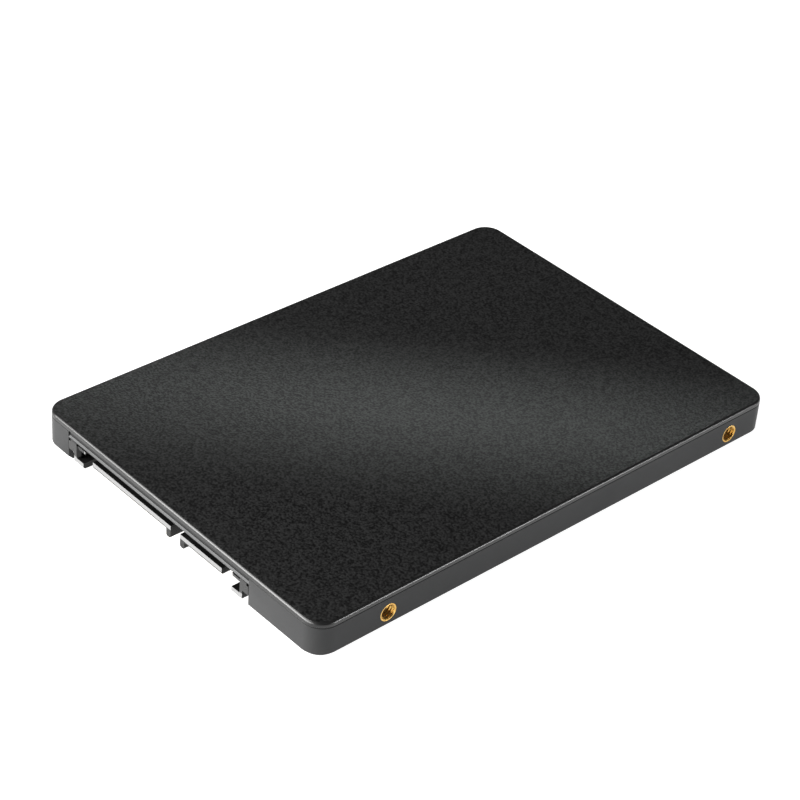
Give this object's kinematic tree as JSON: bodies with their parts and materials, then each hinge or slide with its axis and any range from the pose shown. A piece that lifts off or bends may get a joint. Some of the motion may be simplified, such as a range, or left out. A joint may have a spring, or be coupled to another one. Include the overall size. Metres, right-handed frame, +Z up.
{
  "type": "solid state drive",
  "caption": "Flat 2.5-inch solid state drive in a 7 mm class case with rounded corners, a grained top cover, threaded side and bottom mounting holes and a serial data and power plug at one end.",
  "frame": {"origin": "middle of the underside", "axes": "+Z up through the top cover, +Y from the connector end to the rear end, +X across the width to the side nearer the signal contacts"},
  "size_m": [0.0698, 0.1, 0.0068],
  "materials": {
    "base_plastic": "satin",
    "cover_plastic": "fine spark-eroded grain",
    "board_laminate": "satin solder mask",
    "connector_plastic": "satin gloss",
    "contact_gold": "gold flash plating",
    "tinned_metal": "tin plated",
    "chip_resin": "matte moulded",
    "thermal_pad": "soft matte",
    "capacitor_ceramic": "fired ceramic with tinned ends",
    "resistor_ceramic": "dark film on ceramic",
    "screw_steel": "zinc plated",
    "label_film": "blank satin label film",
    "insert_brass": "turned brass",
    "inductor_ferrite": "moulded ferrite",
    "tantalum_case": "moulded yellow-brown"
  },
  "bodies": {
    "root": {"base_shell": "base_plastic", "top_cover": "cover_plastic", "circuit_board": "board_laminate", "sata_plug_housing": "connector_plastic", "signal_contacts": "contact_gold", "power_contacts": "contact_gold", "plug_board_locks": "tinned_metal", "controller_chip": "chip_resin", "controller_thermal_pad": "thermal_pad", "dram_chip": "chip_resin", "flash_rom": "chip_resin", "power_regulator": "chip_resin", "crystal_oscillator": "tinned_metal", "ceramic_capacitors": "capacitor_ceramic", "chip_resistors": "resistor_ceramic", "board_screws": "screw_steel", "rating_label": "label_film", "side_insert_1": "insert_brass", "side_insert_2": "insert_brass", "side_insert_3": "insert_brass", "side_insert_4": "insert_brass", "bottom_insert_1": "insert_brass", "bottom_insert_2": "insert_brass", "bottom_insert_3": "insert_brass", "bottom_insert_4": "insert_brass", "nand_chip_1": "chip_resin", "nand_chip_2": "chip_resin", "nand_chip_3": "chip_resin", "nand_chip_4": "chip_resin", "power_inductor_1": "inductor_ferrite", "power_inductor_2": "inductor_ferrite", "power_inductor_3": "inductor_ferrite", "bulk_capacitor_1": "tantalum_case", "bulk_capacitor_2": "tantalum_case"}
  },
  "joints": []
}
